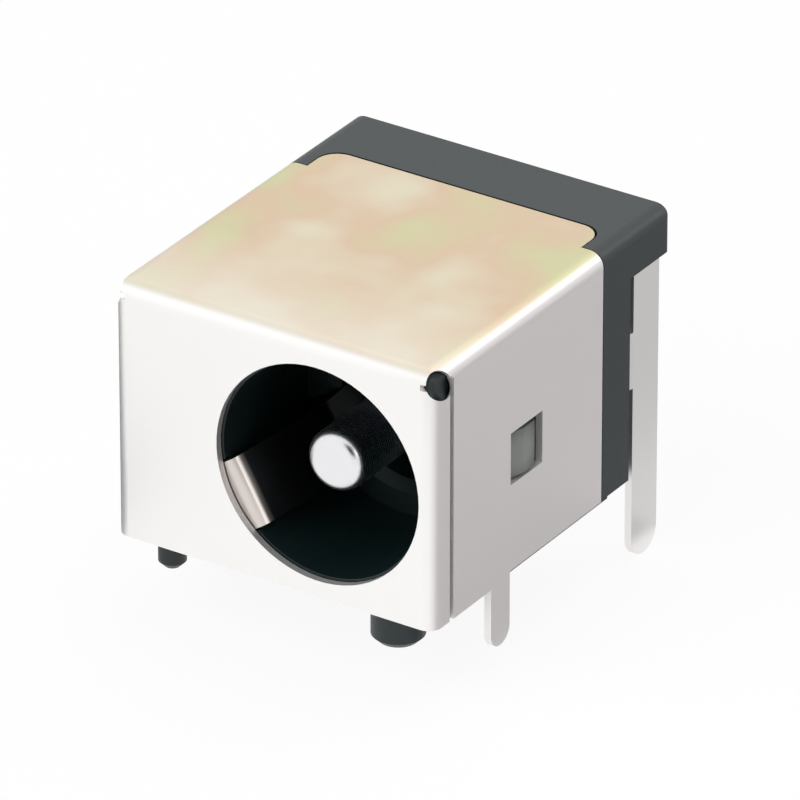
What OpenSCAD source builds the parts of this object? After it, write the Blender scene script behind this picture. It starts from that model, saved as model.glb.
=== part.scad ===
// Right-angle DC barrel jack for a circuit board, with a folded metal shield.
//
// Frame: z = 0 is the face of the board, the plug enters along +y from the front,
// x = 0 is the middle of the width and y = 0 the middle of the housing's footprint.
// Depths named ..._depth and ..._back are measured from the front of the shield.

/* [Body] */
// Width across the shield
body_w = 14.3; // [14:0.1:17]
// Height of the shield's top above the board
body_h = 11; // [10.8:0.1:13]
// Depth from the front of the shield to the housing's rear face
body_depth = 13.65; // [13:0.05:17]
// Reach of the roof behind the rear face
roof_reach = 2.75; // [2.2:0.05:4]
// Thickness of the roof
roof_t = 1.9; // [1.2:0.1:2.4]
// Radius of the roof's two rear corners
roof_corner_r = 0.2; // [0.1:0.05:0.8]
// Depth of the shoulder behind the shield's side plates
shoulder_depth = 1.95; // [1.6:0.05:2.6]
// Cut along the lower edges of the shoulder
shoulder_cut = 0.45; // [0.2:0.05:0.8]

/* [Shield] */
// Thickness of the sheet
sheet_t = 0.3; // [0.2:0.05:0.4]
// Inside radius of the bends
bend_r = 0.3; // [0.2:0.05:0.5]
// Diameter of the mouth in the front plate
mouth_d = 9; // [8.9:0.05:9.2]
// Distance from the end of the top plate's tongue to the housing's rear face
tongue_end_gap = 0.35; // [0.25:0.05:0.6]
// Distance from the shield's side to the tongue
tongue_inset = 1; // [0.8:0.05:2]
// Radius of the tongue's corners
tongue_corner_r = 0.9; // [0.3:0.05:0.95]
// Depth of the returns folded back from the front plate
return_depth = 1.25; // [1.1:0.05:1.6]
// Width of the slits between the folded plates
slit_w = 0.25; // [0.1:0.05:0.35]
// Diameter of the reliefs where three bends meet
relief_d = 1.1; // [1:0.05:1.2]
// Distance of the reliefs' middle from the shield's side
relief_in = 0.1; // [0.05:0.05:0.2]
// Depth of the reliefs' middle
relief_back = 0.55; // [0.45:0.05:0.65]
// Distance of the reliefs' middle below the top
relief_drop = 0.6; // [0.5:0.05:0.7]
// Height of the shield's lower edge above the board
edge_lift = 0.2; // [0.1:0.05:0.4]
// Further lift of that edge behind the ground legs
edge_step = 0.2; // [0.1:0.05:0.4]

/* [Ground legs] */
// Width of a leg
leg_w = 1.3; // [0.9:0.05:1.6]
// Depth of the legs' middle
leg_back = 4.63; // [4.2:0.05:5]
// Length of a leg below the board's face
leg_len = 2.45; // [1.5:0.05:3.5]

/* [Latches] */
// Side of the square window in each side plate
window_w = 2.2; // [1.8:0.05:2.6]
// Depth of the window's middle
window_back = 6.4; // [6.2:0.05:8]
// Height of the window's middle
window_z = 5.15; // [4:0.05:7]
// Gap between the latch bump and its window
latch_gap = 0.15; // [0.1:0.05:0.25]
// The same gap behind the bump
latch_rear_gap = 0.55; // [0.1:0.05:0.7]

/* [Socket] */
// Distance of the socket's axis to the right of the middle
bore_x = 2; // [1:0.05:2.1]
// Height of the socket's axis above the board
bore_z = 5.4; // [5.3:0.05:5.8]
// Diameter of the wide front part, which takes the plug's collar
collar_d = 8.8; // [8.6:0.05:8.85]
// Depth of the wide front part
collar_depth = 6; // [5.6:0.1:7]
// Diameter of the bore round the plug's sleeve
bore_d = 6.2; // [6:0.05:6.5]
// Width and depth of the slope that leads into the bore
lead_in = 0.4; // [0.2:0.05:0.5]
// Thickness of the wall between the socket's floor and the rear face
rear_wall = 2.45; // [2.2:0.05:3]
// Outside diameter of the plug that fits
plug_d = 5.5; // [5.3:0.05:5.6]

/* [Centre pin] */
// Diameter of the pin
pin_d = 2.5; // [2.1:0.05:2.6]
// Depth of the pin's tip
pin_back = 1; // [0.6:0.05:1.5]
// Radius of the tip's edge
pin_edge_r = 0.5; // [0.3:0.05:1]
// Diameter of the collar on the socket's floor
pin_collar_d = 3.8; // [3.2:0.05:4.2]
// Thickness of that collar
pin_collar_t = 0.6; // [0.4:0.05:0.9]
// Diameter of the riveted tail
rivet_d = 1.6; // [1.2:0.05:1.8]
// Diameter of the rivet's head
rivet_head_d = 2.4; // [2.2:0.05:2.9]
// Thickness of the rivet's head
rivet_head_t = 0.4; // [0.3:0.05:0.6]

/* [Centre terminal] */
// Thickness of the strip
terminal_t = 0.3; // [0.2:0.05:0.4]
// Width of the plate round the rivet
terminal_plate_w = 3.4; // [3.1:0.1:4]
// Width of the arm that leads to the bend
terminal_arm_w = 2.4; // [1.6:0.1:3]
// Inside radius of the terminal's bend
terminal_bend_r = 0.1; // [0.05:0.05:0.3]
// Width of the upright
upright_w = 1.8; // [1.2:0.05:2]
// Distance from the body's side to the upright
upright_inset = 0.1; // [0.05:0.05:0.5]
// Gap between the upright's end and the roof
upright_gap = 0.1; // [0.05:0.05:0.3]

/* [Spring and switch] */
// Clock angle of the leaf round the socket, from +x towards +z
leaf_angle = 210; // [208:1:216]
// Thickness of the leaf and of the switch contact
leaf_t = 0.25; // [0.2:0.05:0.3]
// Width of the leaf
leaf_w = 2.8; // [2.4:0.1:2.8]
// How far the leaf springs inside the plug's surface
leaf_press = 0.2; // [0.1:0.05:0.3]
// Depth of the place where the leaf touches the plug
leaf_touch_back = 4.9; // [4.6:0.05:5.4]
// Gap between the leaf's front corners and the wall round them
leaf_front_gap = 0.05; // [0.05:0.05:0.3]
// How far the leaf's lip reaches under the front plate
lip_cover = 0.3; // [0.2:0.05:0.5]
// Distance of the leaf's root from the wall of the bore
leaf_root_gap = 0.65; // [0.6:0.05:0.75]
// Radius of the leaf's rounded touching place
leaf_touch_r = 1; // [0.6:0.1:1.4]
// Depth of the leaf's ear, which rests on the switch contact
ear_back = 8.8; // [8.4:0.1:9.4]
// Length of the ear along the leaf
ear_len = 1.2; // [0.8:0.1:1.6]
// Width of the ear and of the switch contact's arm
ear_w = 1; // [0.8:0.05:1.1]
// Distance from the leaf's side to the switch contact's arm
arm_gap = 0.5; // [0.4:0.05:0.6]
// Length of the switch contact's plate behind the housing
switch_plate_len = 1.9; // [1.5:0.1:2.2]
// Gap between the leaf's ear and the switch contact
switch_gap = 0.03; // [0.02:0.01:0.05]
// Width of the two flat solder tails
tail_w = 1.4; // [1:0.05:1.5]
// Gap between the sleeve spring's plate and the switch contact's tail
plate_gap = 0.65; // [0.4:0.05:0.8]
// Length of the three solder tails below the board's face
tail_len = 3.3; // [2.5:0.1:4]
// Distance of the sleeve's tail to the left of the middle
sleeve_tail_x = 2.85; // [2.7:0.05:3.1]
// Distance of the switch's tail to the left of the middle
switch_tail_x = 5.25; // [5:0.05:5.6]

/* [Locating posts] */
// Depth of both posts' axes
post_back = 1.7; // [1.65:0.05:2.2]
// Length of both posts below the board's face
post_len = 1.55; // [1:0.05:2]
// Cut round the end of each post
post_cut = 0.25; // [0.1:0.05:0.4]
// Diameter of the main post
main_post_d = 2.1; // [1.8:0.1:2.6]
// Distance of the main post to the right of the middle
main_post_x = 4.5; // [4:0.05:5]
// Diameter of the small post
small_post_d = 1.1; // [0.9:0.1:1.6]
// Distance of the small post to the left of the middle
small_post_x = 5.7; // [5:0.05:5.9]

/* [Clearances] */
// Gap between the shield and the housing
shield_gap = 0.05; // [0.03:0.01:0.08]
// Gap round a contact in its slot
slot_gap = 0.1; // [0.05:0.01:0.12]
// Gap round the pin's riveted tail
rivet_gap = 0.03; // [0.02:0.01:0.05]

/* [Hidden] */
$fn = 96;
// How far a cutter reaches past what it cuts
past = 1;
// Facets in each bend of a contact strip
bend_facets = 10;
front_y = -body_depth / 2;
rear_y = body_depth / 2;
roof_y = rear_y + roof_reach;
side_depth = body_depth - shoulder_depth;
top_depth = body_depth - tongue_end_gap;
bore_depth = body_depth - rear_wall;
outer_r = bend_r + sheet_t;
core_w = body_w - 2 * (sheet_t + shield_gap);
core_h = body_h - sheet_t - shield_gap;
core_front_y = front_y + sheet_t + shield_gap;
bore_floor_y = front_y + bore_depth;
tongue_w = body_w - 2 * tongue_inset;
leg_y = front_y + leg_back;
leg_rear_y = leg_y + leg_w / 2;
window_y = front_y + window_back;
roof_z = body_h - roof_t;

// Leaf spring, seen in its own frame: x away from the socket's axis, y as the body's
leaf_root_x = bore_d / 2 + leaf_root_gap;
leaf_touch_x = plug_d / 2 - leaf_press;
leaf_front_r = collar_d / 2 - leaf_front_gap;
leaf_front_x = sqrt(leaf_front_r * leaf_front_r - leaf_w * leaf_w / 4) - leaf_t;
leaf_root_y = bore_floor_y;
leaf_touch_y = front_y + leaf_touch_back;
lip_end_x = mouth_d / 2 + lip_cover;
leaf_arm = norm([leaf_root_x - leaf_touch_x, leaf_root_y - leaf_touch_y]);
leaf_arm_angle = atan((leaf_root_x - leaf_touch_x) / (leaf_root_y - leaf_touch_y));
leaf_lead = norm([leaf_front_x - leaf_touch_x, leaf_touch_y - core_front_y]);
leaf_lead_angle = atan((leaf_front_x - leaf_touch_x) / (leaf_touch_y - core_front_y));
leaf_slot_x = leaf_root_x + leaf_t + bend_r + slot_gap;
ear_y = front_y + ear_back;
ear_x = leaf_touch_x + (ear_y - leaf_touch_y) * tan(leaf_arm_angle);
ear_edge = leaf_w / 2 + ear_w;
arm_edge = leaf_w / 2 + arm_gap;
arm_x = ear_x - ear_len / 2 * tan(leaf_arm_angle) - switch_gap - leaf_t;
// The two plates on the housing's rear face end at these distances from the socket's axis
sleeve_limit_x = tail_w / 2 + plate_gap - switch_tail_x;
sleeve_plate_x = (sleeve_limit_x - bore_x - leaf_w / 2 * sin(leaf_angle)) / cos(leaf_angle);
switch_plate_x = arm_x + leaf_t + bend_r + switch_plate_len;

// ---------------------------------------------------------------- shapes used by several pieces

// A rectangle from (-w/2, 0) to (w/2, h) with its two upper corners rounded
module arch(w, h, r) {
    translate([-w / 2, 0]) square([w, h - r]);
    translate([-w / 2 + r, 0]) square([w - 2 * r, h]);
    for (side = [-1, 1]) translate([side * (w / 2 - r), h - r]) circle(r);
}

// Stands a drawing of x and z up, and gives it a thickness from y0 to y1
module upright_plate(y0, y1) translate([0, y1, 0]) rotate([90, 0, 0]) linear_extrude(y1 - y0) children();

// A leg's outline hanging down from (0, 0): a bar with a round end
module leg_outline(w, length) {
    translate([-w / 2, w / 2 - length]) square([w, length - w / 2]);
    translate([0, w / 2 - length]) circle(w / 2);
}

// Puts its children in the frame of the leaf: x away from the socket's axis, z across the leaf
module in_leaf_frame() translate([bore_x, 0, bore_z]) rotate([0, -leaf_angle, 0]) children();
function from_leaf_frame(x, z) = [bore_x + x * cos(leaf_angle) - z * sin(leaf_angle),
                                  bore_z + x * sin(leaf_angle) + z * cos(leaf_angle)];

// The form that the sheet is folded to: inset 0 gives its outside, sheet_t its inside, and a little
// more the block in it
module shield_form(inset, low_z) {
    w = body_w - 2 * inset;
    h = body_h - inset;
    r = outer_r - inset;
    near_y = front_y + inset;
    far_y = front_y + top_depth + (inset > 0 ? past : 0);
    intersection() {
        translate([0, 0, low_z]) upright_plate(near_y, far_y) arch(w, h - low_z, r);
        translate([0, 0, low_z]) linear_extrude(h - low_z)
            translate([0, far_y]) rotate(180) arch(w, far_y - near_y, r);
        translate([-w / 2, 0, 0]) rotate([90, 0, 90]) linear_extrude(w) {
            translate([near_y + r, low_z]) square([far_y - near_y - r, h - low_z]);
            translate([near_y, low_z]) square([far_y - near_y, h - low_z - r]);
            translate([near_y + r, h - r]) circle(r);
        }
    }
}

// Side view of a bent strip that starts along +x. Each step is [straight run, bend after it,
// inside radius], with a left bend positive. off is 0 for the strip's right face, t for its left.
function heading(a) = [cos(a), sin(a)];
function left_of(a) = [-sin(a), cos(a)];
function face_points(steps, t, off, p = [0, 0], a = 0, i = 0) =
    let (turn = steps[i][1], r = steps[i][2], q = p + steps[i][0] * heading(a))
    let (hub = turn > 0 ? q + (t + r) * left_of(a) : q - r * left_of(a))
    let (to_face = turn > 0 ? off - t - r : off + r, to_right = turn > 0 ? -t - r : r)
    concat([p + off * left_of(a), q + off * left_of(a)],
           turn == 0 ? [] : concat(
               [for (k = [1:bend_facets - 1]) hub + to_face * left_of(a + turn * k / bend_facets)],
               face_points(steps, t, off, hub + to_right * left_of(a + turn), a + turn, i + 1)));
function turned_round(list) = [for (i = [len(list) - 1:-1:0]) list[i]];

module bent_strip(steps, t, w) linear_extrude(w)
    polygon(concat(face_points(steps, t, 0), turned_round(face_points(steps, t, t))));

// ---------------------------------------------------------------- housing

// Front block, which the shield wraps
module front_block() intersection() {
    shield_form(sheet_t + shield_gap, 0);
    upright_plate(front_y, front_y + side_depth + past)
        translate([-body_w / 2, 0]) square([body_w, body_h]);
}

// Shoulder that the shield's side plates meet, in one with the roof behind it
module shoulder_and_roof() {
    shoulder_y = front_y + side_depth + shield_gap;
    difference() {
        intersection() {
            upright_plate(shoulder_y, roof_y) arch(body_w, body_h, outer_r);
            linear_extrude(body_h) translate([0, shoulder_y]) arch(body_w, roof_y - shoulder_y, roof_corner_r);
        }
        translate([-body_w / 2 - past, 0, 0]) rotate([90, 0, 90]) linear_extrude(body_w + 2 * past)
            polygon([[rear_y, roof_z], [roof_y + past, roof_z], [roof_y + past, -past],
                     [rear_y - shoulder_cut - past, -past], [rear_y, shoulder_cut]]);
        for (side = [-1, 1])
            translate([side * body_w / 2, 0, 0]) rotate([0, 45, 0])
                cube([shoulder_cut * sqrt(2), 4 * body_depth, shoulder_cut * sqrt(2)], center = true);
    }
}

// Pocket in the top for the shield's tongue
module tongue_pocket() {
    translate([0, front_y, core_h]) linear_extrude(sheet_t + shield_gap + past)
        arch(tongue_w + 2 * shield_gap, top_depth + 2 * shield_gap, tongue_corner_r);
}

// Ramp that snaps into the window of each side plate, steep at the rear
module latch_bump() {
    low = latch_gap - window_w / 2;
    rear = window_w / 2 - latch_rear_gap;
    height = sheet_t + shield_gap;
    translate([core_w / 2, window_y, window_z + low]) linear_extrude(-2 * low)
        polygon([[-past, low], [height / 3, low], [height, (low + rear) / 2], [height, rear], [-past, rear]]);
}

module locating_post(x, d)
    translate([x, front_y + post_back, 0]) mirror([0, 0, 1]) rotate_extrude()
        polygon([[0, -past], [d / 2, -past], [d / 2, post_len - post_cut], [d / 2 - post_cut, post_len],
                 [0, post_len]]);

// Stepped socket for the plug, with a lead-in to its narrow part
module socket() {
    collar_y = front_y + collar_depth;
    translate([bore_x, 0, bore_z]) rotate([-90, 0, 0]) {
        translate([0, 0, front_y]) cylinder(d = collar_d, h = collar_depth);
        translate([0, 0, collar_y]) cylinder(d1 = bore_d + 2 * lead_in, d2 = bore_d, h = lead_in);
        translate([0, 0, collar_y - past]) cylinder(d = bore_d, h = bore_floor_y - collar_y + past);
        translate([0, 0, bore_floor_y - past])
            cylinder(d = rivet_d + 2 * rivet_gap, h = rear_y - bore_floor_y + 2 * past);
    }
}

// Room beside the bore for the leaf to flex in, and the slots for both contacts' roots
module contact_pocket() {
    collar_y = front_y + collar_depth;
    leaf_edge = leaf_w / 2 + slot_gap;
    arm_slot_x = arm_x - slot_gap / 2;
    ear_slot_y = ear_y - ear_len / 2 - 2 * slot_gap;
    in_leaf_frame() {
        translate([0, collar_y, -leaf_edge]) cube([leaf_slot_x, bore_floor_y - collar_y, 2 * leaf_edge]);
        translate([leaf_root_x - slot_gap / 2, collar_y, -leaf_edge])
            cube([leaf_slot_x - leaf_root_x + slot_gap / 2, rear_y - collar_y + past, 2 * leaf_edge]);
        translate([arm_slot_x, ear_slot_y, -arm_edge - ear_w - slot_gap])
            cube([leaf_slot_x - arm_slot_x, rear_y - ear_slot_y + past, ear_w + 2 * slot_gap]);
        translate([arm_slot_x, ear_slot_y, -arm_edge - ear_w - slot_gap])
            cube([leaf_slot_x - arm_slot_x, ear_len + 4 * slot_gap, arm_edge + ear_w + slot_gap]);
    }
}

// Notch in the mouth's rim, where the leaf's lip lies under the front plate and has room to slide
module lip_notch() {
    leaf_edge = leaf_w / 2 + slot_gap;
    in_leaf_frame() translate([0, core_front_y - past, -leaf_edge])
        cube([lip_end_x + leaf_press + slot_gap, past + leaf_t + slot_gap, 2 * leaf_edge]);
}

module housing() {
    color("#2c2f33") difference() {
        union() {
            front_block();
            shoulder_and_roof();
            latch_bump();
            mirror([1, 0, 0]) latch_bump();
            locating_post(main_post_x, main_post_d);
            locating_post(-small_post_x, small_post_d);
        }
        tongue_pocket();
        socket();
        contact_pocket();
        lip_notch();
    }
}

// ---------------------------------------------------------------- shield

// Everything outside the outline of the top plate, with its tongue
module behind_the_plates() {
    translate([0, 0, -past]) linear_extrude(body_h + 2 * past) difference() {
        translate([-body_w, front_y + side_depth]) square([2 * body_w, body_depth]);
        translate([0, front_y]) arch(tongue_w, top_depth, tongue_corner_r);
    }
}

// Slits that part a return from the side plate and from the top
module return_slits() {
    x0 = body_w / 2 - outer_r;
    slit_y = front_y + return_depth - slit_w / 2;
    slit_z = body_h - outer_r - slit_w / 2;
    // The returns' top rear corner is nipped off, so that no sliver stays beside the relief
    nip = sheet_t / 2;
    translate([x0 + sheet_t / 2, slit_y, -past]) cube([outer_r + past, slit_w, past + slit_z + slit_w / 2]);
    translate([x0, front_y - past, slit_z]) cube([outer_r + past, return_depth + past, slit_w]);
    translate([x0 + sheet_t / 2, slit_y - nip, slit_z - nip])
        cube([outer_r + past, nip + slit_w / 2, nip + slit_w / 2]);
    translate([body_w / 2 - relief_in, front_y + relief_back, body_h - relief_drop])
        rotate([0, acos(1 / sqrt(3)), -45]) cylinder(d = relief_d, h = 3 * past, center = true);
}

module side_cuts() {
    return_slits();
    translate([body_w / 2 - outer_r, window_y - window_w / 2, window_z - window_w / 2])
        cube([outer_r + past, window_w, window_w]);
    translate([body_w / 2 - outer_r, leg_rear_y, -past])
        cube([outer_r + past, body_depth, past + edge_lift + edge_step]);
}

module ground_leg() {
    root_z = edge_lift + leg_w;
    translate([body_w / 2 - sheet_t, leg_y, root_z]) rotate([90, 0, 90])
        linear_extrude(sheet_t) leg_outline(leg_w, leg_len + root_z);
}

module shield() {
    color("#d8cfba") {
        difference() {
            shield_form(0, edge_lift);
            shield_form(sheet_t, -past);
            behind_the_plates();
            side_cuts();
            mirror([1, 0, 0]) side_cuts();
            translate([bore_x, front_y - past, bore_z]) rotate([-90, 0, 0]) cylinder(d = mouth_d, h = 2 * past);
        }
        ground_leg();
        mirror([1, 0, 0]) ground_leg();
    }
}

// ---------------------------------------------------------------- contacts

// Turned pin: rounded tip, collar on the socket's floor, tail riveted behind the terminal
module centre_pin() {
    shaft = bore_depth - pin_back;
    tail = rear_y - bore_floor_y + terminal_t + rivet_head_t;
    head_r = rivet_head_d / 2;
    color("#d9d8d4") translate([bore_x, bore_floor_y, bore_z]) rotate([90, 0, 0]) rotate_extrude() {
        translate([0, -tail]) square([rivet_d / 2, tail + pin_collar_t]);
        square([pin_d / 2 - pin_edge_r, shaft]);
        square([pin_d / 2, shaft - pin_edge_r]);
        intersection() {
            translate([pin_d / 2 - pin_edge_r, shaft - pin_edge_r]) circle(pin_edge_r);
            square([pin_d, shaft + past]);
        }
        square([pin_collar_d / 2, pin_collar_t]);
        translate([0, -tail]) polygon([[0, 0], [head_r - rivet_head_t / 2, 0], [head_r, rivet_head_t / 2],
                                       [head_r, rivet_head_t], [0, rivet_head_t]]);
    }
}

// Plate under the rivet, bent back at the body's side into an upright with a solder tail
module centre_terminal() {
    outer_x = body_w / 2 - upright_inset;
    bend_x = outer_x - terminal_t - terminal_bend_r;
    upright_y = rear_y + terminal_t + terminal_bend_r;
    top_z = roof_z - upright_gap;
    color("#cfcdc8") {
        difference() {
            union() {
                upright_plate(rear_y, rear_y + terminal_t) translate([bore_x, bore_z]) circle(d = terminal_plate_w);
                translate([bore_x, rear_y, bore_z - terminal_arm_w / 2])
                    bent_strip([[bend_x - bore_x, 90, terminal_bend_r], [upright_w / 2, 0, 0]],
                               terminal_t, terminal_arm_w);
            }
            translate([bore_x, rear_y - past, bore_z]) rotate([-90, 0, 0])
                cylinder(d = rivet_d + 2 * rivet_gap, h = terminal_t + 2 * past);
        }
        translate([outer_x - terminal_t, upright_y + upright_w / 2, top_z]) rotate([90, 0, 90])
            linear_extrude(terminal_t) leg_outline(upright_w, top_z + tail_len);
    }
}

// Turns the leaf's strip so that its pad lies on the housing's rear face and points at the socket
module placed_leaf() translate([sleeve_plate_x, rear_y + leaf_t, -leaf_w / 2]) rotate(180) children();

// Leaf that presses on the plug's sleeve, bent out at the rear into a plate with a solder tail
module sleeve_spring() {
    plate_run = sleeve_plate_x - leaf_root_x - leaf_t - bend_r;
    tail_top = from_leaf_frame((sleeve_plate_x + leaf_root_x) / 2, 0)[1];
    touch_turn = leaf_arm_angle + leaf_lead_angle;
    lip_turn = 90 - leaf_lead_angle;
    at_root = bend_r * tan(leaf_arm_angle / 2);
    at_touch = (leaf_touch_r + leaf_t) * tan(touch_turn / 2);
    at_lip = (bend_r + leaf_t) * tan(lip_turn / 2);
    steps = [[plate_run, 90, bend_r],
             [rear_y - bend_r - leaf_root_y - at_root, -leaf_arm_angle, bend_r],
             [leaf_arm - at_root - at_touch, touch_turn, leaf_touch_r],
             [leaf_lead - at_touch - at_lip, lip_turn, bend_r],
             [lip_end_x - leaf_front_x - at_lip, 0, 0]];
    color("#c9c4bb") {
        in_leaf_frame() {
            placed_leaf() bent_strip(steps, leaf_t, leaf_w);
            intersection() {
                placed_leaf() translate([0, 0, -ear_w]) bent_strip(steps, leaf_t, leaf_w + ear_w);
                translate([0, ear_y - ear_len / 2, -ear_edge]) cube([leaf_slot_x, ear_len, leaf_w]);
            }
        }
        upright_plate(rear_y, rear_y + leaf_t) translate([-sleeve_tail_x, tail_top])
            leg_outline(tail_w, tail_top + tail_len);
    }
}

// Fixed contact that the leaf's ear rests on, with its own plate and solder tail
module switch_contact() {
    bar_end = from_leaf_frame(switch_plate_x - ear_w / 3, -arm_edge - ear_w / 2);
    color("#c9c4bb") {
        in_leaf_frame()
            translate([switch_plate_x, rear_y + leaf_t, -arm_edge - ear_w]) rotate(180)
                bent_strip([[switch_plate_len, 90, bend_r], [rear_y - bend_r - ear_y + ear_len / 2, 0, 0]], leaf_t, ear_w);
        upright_plate(rear_y, rear_y + leaf_t) {
            translate([-switch_tail_x - tail_w / 2, bar_end[1] - ear_w / 2])
                square([bar_end[0] + switch_tail_x + tail_w / 2, ear_w]);
            translate([-switch_tail_x, bar_end[1]]) leg_outline(tail_w, bar_end[1] + tail_len);
        }
    }
}

housing();
shield();
centre_pin();
centre_terminal();
sleeve_spring();
switch_contact();
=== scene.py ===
# %% [markdown]
# # A DC barrel jack
#
# A right-angle power jack for a circuit board. A black moulded housing sits in a folded, plated
# shield, with a round mouth at the front, a centre pin, a leaf that presses on the plug, and flat
# tails that are soldered to the board. The solids come ready-made as a frame: this lesson gives
# them their finishes, then sets the light and the camera.
#
# The box round them is kept: it places the table, the cards and the lamps.

import math

import bmesh
import bpy
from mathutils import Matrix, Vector


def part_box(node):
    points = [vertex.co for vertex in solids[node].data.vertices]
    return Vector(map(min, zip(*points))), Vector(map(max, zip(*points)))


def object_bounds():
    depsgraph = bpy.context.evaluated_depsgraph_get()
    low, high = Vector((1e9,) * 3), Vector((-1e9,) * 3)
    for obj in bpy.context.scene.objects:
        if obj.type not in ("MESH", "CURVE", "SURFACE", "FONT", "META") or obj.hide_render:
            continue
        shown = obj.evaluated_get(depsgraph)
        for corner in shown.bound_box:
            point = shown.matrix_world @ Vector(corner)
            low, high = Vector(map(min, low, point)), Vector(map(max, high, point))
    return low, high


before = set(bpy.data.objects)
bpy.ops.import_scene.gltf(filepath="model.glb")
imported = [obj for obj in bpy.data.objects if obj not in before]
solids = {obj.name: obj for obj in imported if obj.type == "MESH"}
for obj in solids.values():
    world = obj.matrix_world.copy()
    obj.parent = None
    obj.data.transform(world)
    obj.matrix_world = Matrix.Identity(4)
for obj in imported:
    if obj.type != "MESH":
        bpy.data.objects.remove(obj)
frame_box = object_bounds()
MM = 0.001
print("solids:", sorted(solids))
print("frame box in mm:", [[round(v / MM, 2) for v in corner] for corner in frame_box])

# %% [markdown]
# ## A workbench for finishes
#
# Colours are picked as sRGB hex values, the numbers of any colour picker. Blender's shaders work
# in linear light, so one function turns the one into the other. A second small function adds a
# node with its settings and its links, so that each finish reads as a short list of nodes.


# %% Colours and nodes
def linear(hex_colour):
    channels = [int(hex_colour[i : i + 2], 16) / 255 for i in (1, 3, 5)]
    light = [c / 12.92 if c <= 0.04045 else ((c + 0.055) / 1.055) ** 2.4 for c in channels]
    return (*light, 1.0)


def add_node(tree, kind, settings=None, **inputs):
    node = tree.nodes.new(kind)
    for name, value in (settings or {}).items():
        setattr(node, name, value)
    for name, value in inputs.items():
        which = int(name[1:]) if name[1:].isdigit() else name.replace("_", " ")
        socket = node.inputs[which]
        if isinstance(value, bpy.types.NodeSocket):
            tree.links.new(value, socket)
        else:
            socket.default_value = value
    return node


def new_finish(name):
    finish = bpy.data.materials.new(name)
    finish.use_nodes = True
    tree = finish.node_tree
    tree.nodes.clear()
    return finish, tree


def finish_with(tree, shader):
    add_node(tree, "ShaderNodeOutputMaterial", Surface=shader.outputs[0])


def dress(node_name, finish):
    mesh = solids[node_name].data
    mesh.materials.clear()
    mesh.materials.append(finish)
    print(node_name, "wears", finish.name, "on", len(mesh.polygons), "faces")


print("plain mid grey is", [round(c, 3) for c in linear("#808080")[:3]], "in linear light")

# %% [markdown]
# ## The shield: tin-plated steel, passivated
#
# The shield is blanked from thin steel strip, plated with tin and folded. Plating gives a satin,
# milky metal and not a mirror: fine grains scatter the light. The clear coat that keeps it from
# tarnishing has yellowed a little where it lies thickest, on the top plate, in cloudy patches
# from straw to pink to pale green. The side plates are painted a cooler, duller grey than the
# front, which is painted shade.
#
# The tint could be a painted picture wrapped round the sheet. Here it is placed by height, which
# Texture Coordinate gives in the object's own axes, and by the way that a face points: that needs
# no unwrapping, and the tint stays where it is put. Soft noise with a patch size of a few
# millimetres clouds it, and it pales towards the front, where the coat runs thin. A fine grain
# breaks up the gloss. The real grains are a few thousandths of a millimetre, so they are drawn
# coarser, to show at all.


# %% Plated sheet
shield_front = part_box("shield")[0][1]
shield_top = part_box("shield")[1][2]
patch_mm = 5.0
grain_mm = 0.12
paling_starts_y = -1.0 * MM
most_paling = 0.7
relief_depth = 0.02 * MM


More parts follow.
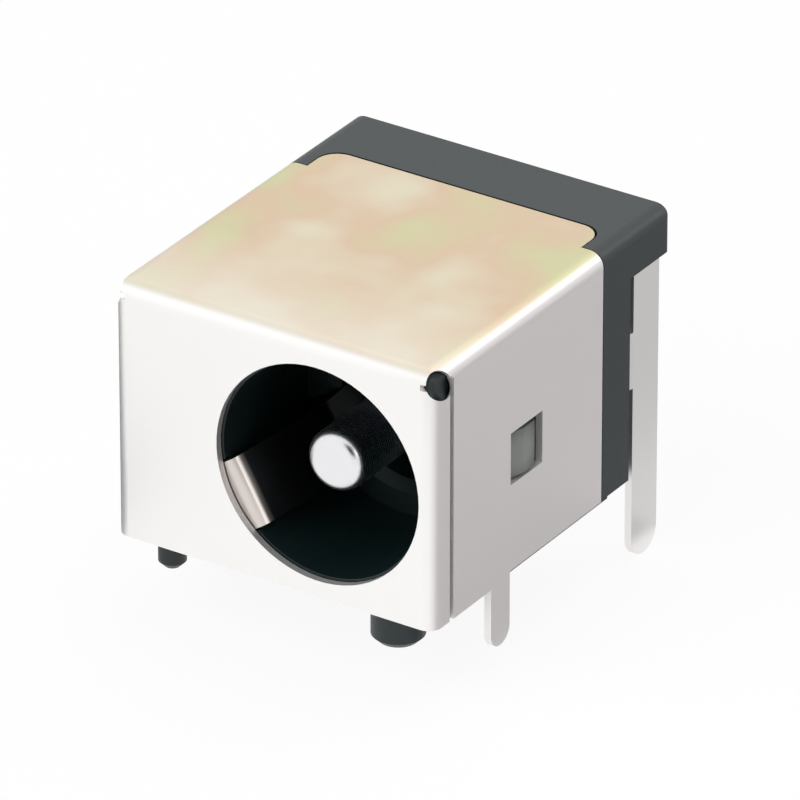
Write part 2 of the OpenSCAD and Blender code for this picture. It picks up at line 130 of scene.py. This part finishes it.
def plated_sheet():
    finish, tree = new_finish("tin_plated_steel")
    place = add_node(tree, "ShaderNodeTexCoord")
    facing = add_node(tree, "ShaderNodeSeparateXYZ", Vector=place.outputs["Normal"])
    patches = add_node(
        tree,
        "ShaderNodeTexNoise",
        Vector=place.outputs["Object"],
        Scale=1 / (patch_mm * MM),
        Detail=2.0,
        Roughness=0.45,
    )
    straw = add_node(tree, "ShaderNodeValToRGB", Fac=patches.outputs["Fac"])
    ramp = straw.color_ramp
    ramp.elements[0].position = 0.34
    ramp.elements[0].color = linear("#c2c197")
    ramp.elements[1].position = 0.66
    ramp.elements[1].color = linear("#d0c7b0")
    pink = ramp.elements.new(0.5)
    pink.color = linear("#cbb499")
    axes = add_node(tree, "ShaderNodeSeparateXYZ", Vector=place.outputs["Object"])
    near_front = add_node(
        tree,
        "ShaderNodeMapRange",
        Value=axes.outputs["Y"],
        From_Min=paling_starts_y,
        From_Max=shield_front,
        To_Max=most_paling,
    )
    coat = add_node(
        tree,
        "ShaderNodeMix",
        {"data_type": "RGBA"},
        _0=near_front.outputs[0],
        _6=straw.outputs["Color"],
        _7=linear("#dcd6c8"),
    )
    faces_up = add_node(
        tree,
        "ShaderNodeMapRange",
        {"interpolation_type": "SMOOTHSTEP"},
        Value=facing.outputs["Z"],
        From_Min=0.55,
        From_Max=0.98,
    )
    near_top = add_node(
        tree,
        "ShaderNodeMapRange",
        Value=axes.outputs["Z"],
        From_Min=shield_top - 1.0 * MM,
        From_Max=shield_top - 0.4 * MM,
    )
    top_share = add_node(
        tree,
        "ShaderNodeMath",
        {"operation": "MULTIPLY"},
        _0=faces_up.outputs[0],
        _1=near_top.outputs[0],
    )
    # Faces that point left or right are painted greyer: painted shade on the side plates.
    side_x = add_node(tree, "ShaderNodeMath", {"operation": "ABSOLUTE"}, _0=facing.outputs["X"])
    side_shade_share = add_node(
        tree,
        "ShaderNodeMapRange",
        {"interpolation_type": "SMOOTHSTEP"},
        Value=side_x.outputs[0],
        From_Min=0.5,
        From_Max=0.95,
    )
    # The front colour, and the greyer colour of painted shade for the sides.
    plain = add_node(
        tree,
        "ShaderNodeMix",
        {"data_type": "RGBA"},
        _0=side_shade_share.outputs[0],
        _6=linear("#f8f7f5"),
        _7=linear("#e2dddd"),
    )
    colour = add_node(
        tree,
        "ShaderNodeMix",
        {"data_type": "RGBA"},
        _0=top_share.outputs[0],
        _6=plain.outputs[2],
        _7=coat.outputs[2],
    )
    grain = add_node(
        tree,
        "ShaderNodeTexNoise",
        Vector=place.outputs["Object"],
        Scale=1 / (grain_mm * MM),
        Detail=2.0,
    )
    gloss = add_node(
        tree, "ShaderNodeMapRange", Value=grain.outputs["Fac"], To_Min=0.34, To_Max=0.46
    )
    relief = add_node(
        tree, "ShaderNodeBump", Height=grain.outputs["Fac"], Strength=0.06, Distance=relief_depth
    )
    shader = add_node(
        tree,
        "ShaderNodeBsdfPrincipled",
        Base_Color=colour.outputs[2],
        Metallic=0.75,
        Roughness=gloss.outputs[0],
        Normal=relief.outputs[0],
    )
    finish_with(tree, shader)
    return finish


dress("shield", plated_sheet())

# %% [markdown]
# ## The housing: black glass-filled nylon
#
# The housing is moulded in nylon with glass fibre, which stands the heat of soldering. It leaves
# the mould a soft blue-black with a low sheen, and the fibres give the skin a faint mottle. So
# the finish is a dark dielectric with a middling roughness that a fine noise varies, and a
# shallow bump of the same noise. One flat colour and gloss would be simpler, but it looks like
# paint. Real fibres are a hundredth of a millimetre thick, so their mottle is drawn coarser.
#
# A soft round pale grey patch is laid on each of the two latch bumps, by the distance from its
# middle: painted sheen that stands in for the light their faces reflect.


# %% Black nylon
fibre_mm = 0.25
bump_y = -0.8 * MM
bump_z = 5.1 * MM
bump_root_x = 6.7 * MM
# Where the painted sheen on the latch bumps is full, and where it has faded out.
sheen_core = 0.3 * MM
sheen_edge = 1.9 * MM


def black_nylon():
    finish, tree = new_finish("black_glass_filled_nylon")
    place = add_node(tree, "ShaderNodeTexCoord")
    fibres = add_node(
        tree,
        "ShaderNodeTexNoise",
        Vector=place.outputs["Object"],
        Scale=1 / (fibre_mm * MM),
        Detail=3.0,
        Roughness=0.6,
    )
    colour = add_node(
        tree,
        "ShaderNodeMix",
        {"data_type": "RGBA"},
        _0=fibres.outputs["Fac"],
        _6=linear("#081415"),
        _7=linear("#0f2021"),
    )
    across = add_node(
        tree,
        "ShaderNodeVectorMath",
        {"operation": "MULTIPLY"},
        _0=place.outputs["Object"],
        _1=(0, 1, 1),
    )
    from_bump = add_node(
        tree,
        "ShaderNodeVectorMath",
        {"operation": "DISTANCE"},
        _0=across.outputs[0],
        _1=(0, bump_y, bump_z),
    )
    sheen_falloff = add_node(
        tree,
        "ShaderNodeMapRange",
        {"interpolation_type": "SMOOTHSTEP"},
        Value=from_bump.outputs["Value"],
        From_Min=sheen_edge,
        From_Max=sheen_core,
    )
    axes = add_node(tree, "ShaderNodeSeparateXYZ", Vector=place.outputs["Object"])
    outward = add_node(tree, "ShaderNodeMath", {"operation": "ABSOLUTE"}, _0=axes.outputs["X"])
    on_skin = add_node(
        tree,
        "ShaderNodeMath",
        {"operation": "GREATER_THAN"},
        _0=outward.outputs[0],
        _1=bump_root_x,
    )
    # Painted sheen: the pale grey patch on each latch bump.
    painted_bump_sheen = add_node(
        tree,
        "ShaderNodeMath",
        {"operation": "MULTIPLY"},
        _0=sheen_falloff.outputs[0],
        _1=on_skin.outputs[0],
    )
    colour = add_node(
        tree,
        "ShaderNodeMix",
        {"data_type": "RGBA"},
        _0=painted_bump_sheen.outputs[0],
        _6=colour.outputs[2],
        _7=linear("#80837f"),
    )
    gloss = add_node(
        tree, "ShaderNodeMapRange", Value=fibres.outputs["Fac"], To_Min=0.38, To_Max=0.52
    )
    relief = add_node(
        tree, "ShaderNodeBump", Height=fibres.outputs["Fac"], Strength=0.08, Distance=relief_depth
    )
    shader = add_node(
        tree,
        "ShaderNodeBsdfPrincipled",
        Base_Color=colour.outputs[2],
        Roughness=gloss.outputs[0],
        IOR=1.53,
        Normal=relief.outputs[0],
    )
    finish_with(tree, shader)
    return finish


dress("housing", black_nylon())

# %% [markdown]
# ## The pin and the strips: nickel, tin and silver
#
# The pin is turned from brass and nickel-plated: bright, with fine rings left by the lathe round
# its axis. The centre terminal is tinned brass strip, a little duller and pale grey, with the
# long lines of rolling. The leaf and the switch contact are silvered spring strip. Inside the
# bore their colour is painted nearly black, which is painted shade for the dark bore round them.
# The leaf's front lip, and the plates and tails that stand outside at the back, stay pale.
#
# Rings and lines could be raised as a bump, but ones this fine would only flicker. So they are
# a change of gloss, and they are drawn about ten times as coarse as the real ones.


# %% Bright pin
ring_mm = 0.12
wave_scale = 0.31


def nickel_plated_pin():
    finish, tree = new_finish("turned_nickel_plated_brass")
    place = add_node(tree, "ShaderNodeTexCoord")
    rings = add_node(
        tree,
        "ShaderNodeTexWave",
        {"bands_direction": "Y"},
        Vector=place.outputs["Object"],
        Scale=wave_scale / (ring_mm * MM),
        Distortion=0.3,
    )
    gloss = add_node(
        tree, "ShaderNodeMapRange", Value=rings.outputs["Fac"], To_Min=0.26, To_Max=0.3
    )
    shader = add_node(
        tree,
        "ShaderNodeBsdfPrincipled",
        Base_Color=linear("#eeeef0"),
        Metallic=1.0,
        Roughness=gloss.outputs[0],
    )
    finish_with(tree, shader)
    return finish


dress("centre_pin", nickel_plated_pin())

# %% Rolled strips
line_mm = 0.08
line_stretch = 0.04
pale_lip = 0.25 * MM
shaded_from = 0.6 * MM
bore_end_y = 5.8 * MM


def rolled_strip(name, hex_colour, roll_axis, bore_shade_hex=None):
    finish, tree = new_finish(name)
    place = add_node(tree, "ShaderNodeTexCoord")
    stretch = [1.0, 1.0, 1.0]
    stretch["XYZ".index(roll_axis)] = line_stretch
    rolled = add_node(tree, "ShaderNodeMapping", Vector=place.outputs["Object"], Scale=stretch)
    lines = add_node(
        tree, "ShaderNodeTexNoise", Vector=rolled.outputs[0], Scale=1 / (line_mm * MM), Detail=2.0
    )
    gloss = add_node(
        tree, "ShaderNodeMapRange", Value=lines.outputs["Fac"], To_Min=0.3, To_Max=0.38
    )
    shader = add_node(
        tree,
        "ShaderNodeBsdfPrincipled",
        Base_Color=linear(hex_colour),
        Metallic=1.0,
        Roughness=gloss.outputs[0],
    )
    # Inside the bore, behind the lip, the strip is painted dark grey: painted shade of the bore.
    if bore_shade_hex:
        axes = add_node(tree, "ShaderNodeSeparateXYZ", Vector=place.outputs["Object"])
        lip_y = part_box("sleeve_spring")[0][1]
        behind_lip = add_node(
            tree,
            "ShaderNodeMapRange",
            Value=axes.outputs["Y"],
            From_Min=lip_y + pale_lip,
            From_Max=lip_y + shaded_from,
        )
        in_bore = add_node(
            tree,
            "ShaderNodeMath",
            {"operation": "LESS_THAN"},
            _0=axes.outputs["Y"],
            _1=bore_end_y,
        )
        inside = add_node(
            tree,
            "ShaderNodeMath",
            {"operation": "MULTIPLY"},
            _0=behind_lip.outputs[0],
            _1=in_bore.outputs[0],
        )
        colour = add_node(
            tree,
            "ShaderNodeMix",
            {"data_type": "RGBA"},
            _0=inside.outputs[0],
            _6=linear(hex_colour),
            _7=linear(bore_shade_hex),
        )
        tree.links.new(colour.outputs[2], shader.inputs["Base Color"])
    finish_with(tree, shader)
    return finish


dress("centre_terminal", rolled_strip("tinned_brass_strip", "#eeebea", "Z"))
# The second colour is painted shade for the part of the strip inside the dark bore.
leaf_finish = rolled_strip("silvered_spring_strip", "#ddd5cf", "Y", "#37393b")
dress("sleeve_spring", leaf_finish)
dress("switch_contact", leaf_finish)

# %% [markdown]
# ## Table, light and camera
#
# The jack stands on its solder tails on a plain white table. The table is bright to the camera
# and to the metal, which shows it, while its own surface stays a normal white that takes the
# shadow. More lamp light would whiten the table too, but it would wash out the pale shield.
#
# Five soft lamps light the jack. The key, from the upper left front, carries the picture; the
# metal does not mirror it, because its disc would wash the front plate out. The top lamp lifts
# the top plate, the faint back lamp and the rim lamp draw the far edges of the housing, and the
# side lamp fills the right, so that the two sides of the shield differ.


# %% Table and world
low, high = frame_box
middle = (Vector(low) + Vector(high)) / 2


def flat_sheet(name, width_mm, height_mm):
    sheet = bmesh.new()
    bmesh.ops.create_grid(sheet, x_segments=1, y_segments=1, size=0.5)
    bmesh.ops.scale(sheet, vec=(width_mm * MM, height_mm * MM, 1), verts=sheet.verts)
    mesh = bpy.data.meshes.new(name)
    sheet.to_mesh(mesh)
    sheet.free()
    piece = bpy.data.objects.new(name, mesh)
    bpy.context.collection.objects.link(piece)
    return piece


table = flat_sheet("table", 4000, 4000)
table.location.z = low[2]


def seen_directly(tree):
    rays = add_node(tree, "ShaderNodeLightPath")
    seen = add_node(
        tree,
        "ShaderNodeMath",
        {"operation": "MAXIMUM"},
        _0=rays.outputs["Is Camera Ray"],
        _1=rays.outputs["Is Glossy Ray"],
    )
    return add_node(
        tree,
        "ShaderNodeMath",
        {"operation": "MAXIMUM"},
        _0=seen.outputs[0],
        _1=rays.outputs["Is Transmission Ray"],
    )


table_finish, tree = new_finish("white_table")
matt = add_node(tree, "ShaderNodeBsdfDiffuse", Color=linear("#f8f8f8"))
glow = add_node(tree, "ShaderNodeEmission", Color=(1, 1, 1, 1), Strength=1.0)
seen = seen_directly(tree)
glow_share = 0.92
share = add_node(
    tree, "ShaderNodeMath", {"operation": "MULTIPLY"}, _0=seen.outputs[0], _1=glow_share
)
mix = add_node(
    tree, "ShaderNodeMixShader", _0=share.outputs[0], _1=matt.outputs[0], _2=glow.outputs[0]
)
finish_with(tree, mix)
table.data.materials.append(table_finish)

world = bpy.data.worlds.new("studio")
bpy.context.scene.world = world
world.use_nodes = True
tree = world.node_tree
tree.nodes.clear()
soft_fill = add_node(tree, "ShaderNodeBackground", Color=(1, 1, 1, 1), Strength=0.3)
white_room = add_node(tree, "ShaderNodeBackground", Color=(1, 1, 1, 1), Strength=1.0)
seen = seen_directly(tree)
mix = add_node(
    tree,
    "ShaderNodeMixShader",
    _0=seen.outputs[0],
    _1=soft_fill.outputs[0],
    _2=white_room.outputs[0],
)
add_node(tree, "ShaderNodeOutputWorld", Surface=mix.outputs[0])
print("table at", round(low[2] / MM, 2), "mm")


# %% Lamps
lamp_distance = 300 * MM


def soft_lamp(name, direction, size_mm, watts):
    lamp = bpy.data.lights.new(name, "AREA")
    lamp.shape = "DISK"
    lamp.size = size_mm * MM
    lamp.energy = watts
    holder = bpy.data.objects.new(name, lamp)
    bpy.context.collection.objects.link(holder)
    away = Vector(direction).normalized()
    holder.location = middle + away * lamp_distance
    holder.rotation_euler = away.to_track_quat("Z", "Y").to_euler()
    print(name, "shines with", watts, "W")
    return holder


key = soft_lamp("key", (-0.45, -1.0, 0.75), 360, 0.72)
key.visible_glossy = False
soft_lamp("top", (0.1, 0.3, 1.0), 300, 0.33)
soft_lamp("back", (-0.5, 0.75, 0.55), 260, 0.036)
soft_lamp("rim", (0.47, 0.74, 0.49), 120, 0.09)
soft_lamp("side", (1.0, -0.3, 0.5), 160, 0.08)

# %% [markdown]
# White metal on a white table has no edges of its own. Product shots give it some with dark
# cards, which are seen only in the metal. The camera looks down, so an upright wall of the jack
# mirrors the table beside it and not the room. So a card lies on the table to the left and draws
# a grey line down the left bend, and lighter ones to the right grey the side, the leg and the
# long tail. A small one stands before the pin, on the way to the camera, as the dark front of a
# lens would, and puts a dark spot on the round edge of its tip.


# %% Dark cards
card_lift = 0.1 * MM
pin_card_distance = 14 * MM


def dark_card(name, hex_colour, width_mm, height_mm):
    finish, tree = new_finish(name)
    finish_with(tree, add_node(tree, "ShaderNodeEmission", Color=linear(hex_colour), Strength=1.0))
    card = flat_sheet(name, width_mm, height_mm)
    card.data.materials.append(finish)
    card.visible_camera = False
    card.visible_diffuse = False
    card.visible_shadow = False
    return card


def lay_card(card, centre_x_mm, centre_y_mm):
    card.location = (centre_x_mm * MM, centre_y_mm * MM, low[2] + card_lift)
    print(card.name, "lies at", centre_x_mm, centre_y_mm, "mm")


lay_card(dark_card("left_card", "#383838", 40, 62), -32, 16)
lay_card(dark_card("right_card", "#c8c8c8", 48, 56), 36, 20)
lay_card(dark_card("leg_card", "#c0c0c0", 4.2, 16), 9.9, 2)
lay_card(dark_card("tail_card", "#e0e0e0", 9, 20), 7.5, 20)
pin_low, pin_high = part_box("centre_pin")
pin_tip = Vector(((pin_low[0] + pin_high[0]) / 2, pin_low[1], (pin_low[2] + pin_high[2]) / 2))
pin_card = dark_card("pin_card", "#101010", 9, 9)
towards_camera = Vector((0.481, -0.740, 0.469)).normalized()
pin_card.location = pin_tip + towards_camera * pin_card_distance
pin_card.rotation_euler = towards_camera.to_track_quat("Z", "Y").to_euler()
print("pin_card stands before", [round(v / MM, 2) for v in pin_tip], "mm")

# %% [markdown]
# The camera stands well back with a long lens, as product cameras do, so the jack's edges stay
# almost parallel. It looks down from the right front.

# %% Camera
azimuth = math.radians(33.07)
elevation = math.radians(28.29)
distance = 422.1 * MM
aim = Vector((0.79, 0.68, 4.82)) * MM
back = Vector(
    (
        math.sin(azimuth) * math.cos(elevation),
        -math.cos(azimuth) * math.cos(elevation),
        math.sin(elevation),
    )
)
lens = bpy.data.cameras.new("product_camera")
lens.sensor_width = 36
lens.lens = 504
lens.clip_start = 0.01
camera = bpy.data.objects.new("product_camera", lens)
bpy.context.collection.objects.link(camera)
camera.location = aim + back * distance
camera.rotation_euler = back.to_track_quat("Z", "Y").to_euler()
bpy.context.scene.camera = camera
bpy.context.scene.view_settings.view_transform = "Standard"
print("camera at", [round(v / MM) for v in camera.location], "mm")
